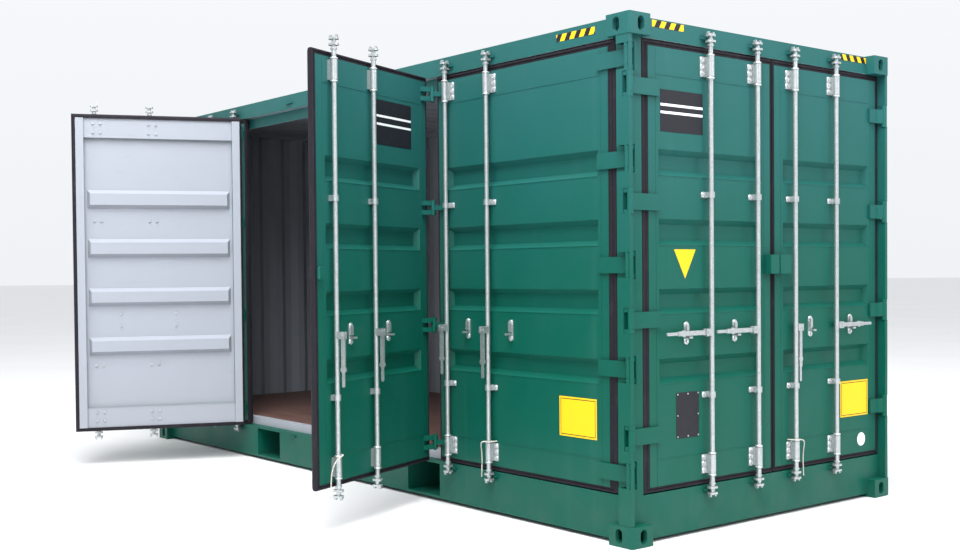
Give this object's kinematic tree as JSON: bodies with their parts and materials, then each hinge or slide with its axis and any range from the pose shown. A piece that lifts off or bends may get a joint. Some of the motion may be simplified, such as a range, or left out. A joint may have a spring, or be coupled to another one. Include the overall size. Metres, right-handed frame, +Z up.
{
  "type": "side-opening shipping container",
  "caption": "High-cube steel freight container with double end doors and folding side doors, shown with the side doors swung open and the end doors shut.",
  "frame": {"origin": "centre of the four bottom corner castings, on the plane they stand on", "axes": "+X towards the double end doors, -Y towards the folding side doors, +Z up"},
  "size_m": [6.0715, 3.6673, 2.896],
  "materials": {
    "green_paint": "satin teal green marine paint with light weathering",
    "galvanised_steel": "hot-dip galvanised, dull grey with faint spangle",
    "door_seal_rubber": "matt black extruded rubber",
    "plywood": "red-brown marine plywood planks",
    "rope_fibre": "pale laid polypropylene rope",
    "underframe_paint": "dark underbody coating"
  },
  "bodies": {
    "root": {"bottom_corner_castings": "green_paint", "closed_end_header": "green_paint", "closed_end_posts": "green_paint", "closed_end_sill": "green_paint", "closed_end_wall": "green_paint", "crossmembers": "underframe_paint", "door_end_posts": "green_paint", "door_header": "green_paint", "door_sill": "green_paint", "far_leaf_lock_gear": "galvanised_steel", "floor": "plywood", "fork_pocket_straps": "green_paint", "fork_pockets": "green_paint", "lock_keepers": "green_paint", "rear_bottom_rail": "green_paint", "rear_side_wall": "green_paint", "rear_top_rail": "green_paint", "roof": "green_paint", "side_header": "green_paint", "side_leaf_1": "green_paint", "side_leaf_1_tie_rope": "rope_fibre", "side_leaf_2": "green_paint", "side_leaf_2_tie_rope": "rope_fibre", "side_leaf_3": "green_paint", "side_leaf_4": "green_paint", "side_leaf_gaskets": "door_seal_rubber", "side_leaf_hinges": "green_paint", "side_rod_brackets": "galvanised_steel", "side_sill": "green_paint", "side_sill_gussets": "green_paint", "side_threshold": "green_paint", "top_corner_castings": "green_paint"},
    "end_left_door": {"end_left_leaf": "green_paint", "end_left_gasket": "door_seal_rubber", "end_left_hinge_straps": "green_paint", "end_left_rod_brackets": "galvanised_steel", "end_left_lockbox": "green_paint"},
    "end_right_door": {"end_right_leaf": "green_paint", "end_right_gasket": "door_seal_rubber", "end_right_hinge_straps": "green_paint", "end_right_rod_brackets": "galvanised_steel", "end_right_lockbox": "green_paint", "end_right_tie_rope": "rope_fibre"},
    "end_left_lock_rod_1": {"end_left_rod_1": "galvanised_steel"},
    "end_left_lock_handle_1": {"end_left_handle_1": "galvanised_steel"},
    "end_left_lock_rod_2": {"end_left_rod_2": "galvanised_steel"},
    "end_left_lock_handle_2": {"end_left_handle_2": "galvanised_steel"},
    "end_right_lock_rod_1": {"end_right_rod_1": "galvanised_steel"},
    "end_right_lock_handle_1": {"end_right_handle_1": "galvanised_steel"},
    "end_right_lock_rod_2": {"end_right_rod_2": "galvanised_steel"},
    "end_right_lock_handle_2": {"end_right_handle_2": "galvanised_steel"},
    "side_leaf_1_lock_rod_1": {"side_leaf_1_rod_1": "galvanised_steel"},
    "side_leaf_1_lock_handle_1": {"side_leaf_1_handle_1": "galvanised_steel"},
    "side_leaf_1_lock_rod_2": {"side_leaf_1_rod_2": "galvanised_steel"},
    "side_leaf_1_lock_handle_2": {"side_leaf_1_handle_2": "galvanised_steel"},
    "side_leaf_2_lock_rod_1": {"side_leaf_2_rod_1": "galvanised_steel"},
    "side_leaf_2_lock_handle_1": {"side_leaf_2_handle_1": "galvanised_steel"},
    "side_leaf_2_lock_rod_2": {"side_leaf_2_rod_2": "galvanised_steel"},
    "side_leaf_2_lock_handle_2": {"side_leaf_2_handle_2": "galvanised_steel"}
  },
  "joints": [
    {"name": "end_left_door_hinge", "type": "hinge", "parent": "root", "child": "end_left_door", "pos_m": [3.008, -1.198, 1.523], "axis": [0, 0, -1], "range_deg": [0, 250]},
    {"name": "end_right_door_hinge", "type": "hinge", "parent": "root", "child": "end_right_door", "pos_m": [3.008, 1.198, 1.523], "axis": [0, 0, 1], "range_deg": [0, 250]},
    {"name": "end_left_lock_rod_1_turn", "type": "hinge", "parent": "end_left_door", "child": "end_left_lock_rod_1", "pos_m": [3.005, -0.535, 1.5], "axis": [0, 0, 1], "range_deg": [0, 110]},
    {"name": "end_left_lock_handle_1_lift", "type": "hinge", "parent": "end_left_lock_rod_1", "child": "end_left_lock_handle_1", "pos_m": [3.005, -0.579, 1.15], "axis": [-1, 0, 0], "range_deg": [0, 80]},
    {"name": "end_left_lock_rod_2_turn", "type": "hinge", "parent": "end_left_door", "child": "end_left_lock_rod_2", "pos_m": [3.005, -0.113, 1.5], "axis": [0, 0, 1], "range_deg": [0, 110]},
    {"name": "end_left_lock_handle_2_lift", "type": "hinge", "parent": "end_left_lock_rod_2", "child": "end_left_lock_handle_2", "pos_m": [3.005, -0.157, 1.15], "axis": [-1, 0, 0], "range_deg": [0, 80]},
    {"name": "end_right_lock_rod_1_turn", "type": "hinge", "parent": "end_right_door", "child": "end_right_lock_rod_1", "pos_m": [3.005, 0.249, 1.5], "axis": [0, 0, -1], "range_deg": [0, 110]},
    {"name": "end_right_lock_handle_1_lift", "type": "hinge", "parent": "end_right_lock_rod_1", "child": "end_right_lock_handle_1", "pos_m": [3.005, 0.293, 1.15], "axis": [1, 0, 0], "range_deg": [0, 65]},
    {"name": "end_right_lock_rod_2_turn", "type": "hinge", "parent": "end_right_door", "child": "end_right_lock_rod_2", "pos_m": [3.005, 0.671, 1.5], "axis": [0, 0, -1], "range_deg": [0, 110]},
    {"name": "end_right_lock_handle_2_lift", "type": "hinge", "parent": "end_right_lock_rod_2", "child": "end_right_lock_handle_2", "pos_m": [3.005, 0.715, 1.15], "axis": [1, 0, 0], "range_deg": [0, 80]},
    {"name": "side_leaf_1_lock_rod_1_turn", "type": "hinge", "parent": "root", "child": "side_leaf_1_lock_rod_1", "pos_m": [1.373, -1.2, 1.5], "axis": [0, 0, 1], "range_deg": [-20, 90]},
    {"name": "side_leaf_1_lock_handle_1_lift", "type": "hinge", "parent": "side_leaf_1_lock_rod_1", "child": "side_leaf_1_lock_handle_1", "pos_m": [1.373, -1.244, 1.15], "axis": [-1, 0, 0], "range_deg": [0, 90]},
    {"name": "side_leaf_1_lock_rod_2_turn", "type": "hinge", "parent": "root", "child": "side_leaf_1_lock_rod_2", "pos_m": [1.79, -1.2, 1.5], "axis": [0, 0, 1], "range_deg": [-20, 90]},
    {"name": "side_leaf_1_lock_handle_2_lift", "type": "hinge", "parent": "side_leaf_1_lock_rod_2", "child": "side_leaf_1_lock_handle_2", "pos_m": [1.79, -1.244, 1.15], "axis": [-1, 0, 0], "range_deg": [0, 90]},
    {"name": "side_leaf_2_lock_rod_1_turn", "type": "hinge", "parent": "root", "child": "side_leaf_2_lock_rod_1", "pos_m": [1.6634, -2.21165, 1.5], "axis": [0, 0, 1], "range_deg": [-20, 90]},
    {"name": "side_leaf_2_lock_handle_1_lift", "type": "hinge", "parent": "side_leaf_2_lock_rod_1", "child": "side_leaf_2_lock_handle_1", "pos_m": [1.7039, -2.19446, 1.15], "axis": [0.3907, -0.9205, 0], "range_deg": [0, 90]},
    {"name": "side_leaf_2_lock_rod_2_turn", "type": "hinge", "parent": "root", "child": "side_leaf_2_lock_rod_2", "pos_m": [1.5032, -1.83425, 1.5], "axis": [0, 0, 1], "range_deg": [-20, 90]},
    {"name": "side_leaf_2_lock_handle_2_lift", "type": "hinge", "parent": "side_leaf_2_lock_rod_2", "child": "side_leaf_2_lock_handle_2", "pos_m": [1.5437, -1.81706, 1.15], "axis": [0.3907, -0.9205, 0], "range_deg": [0, 90]}
  ]
}
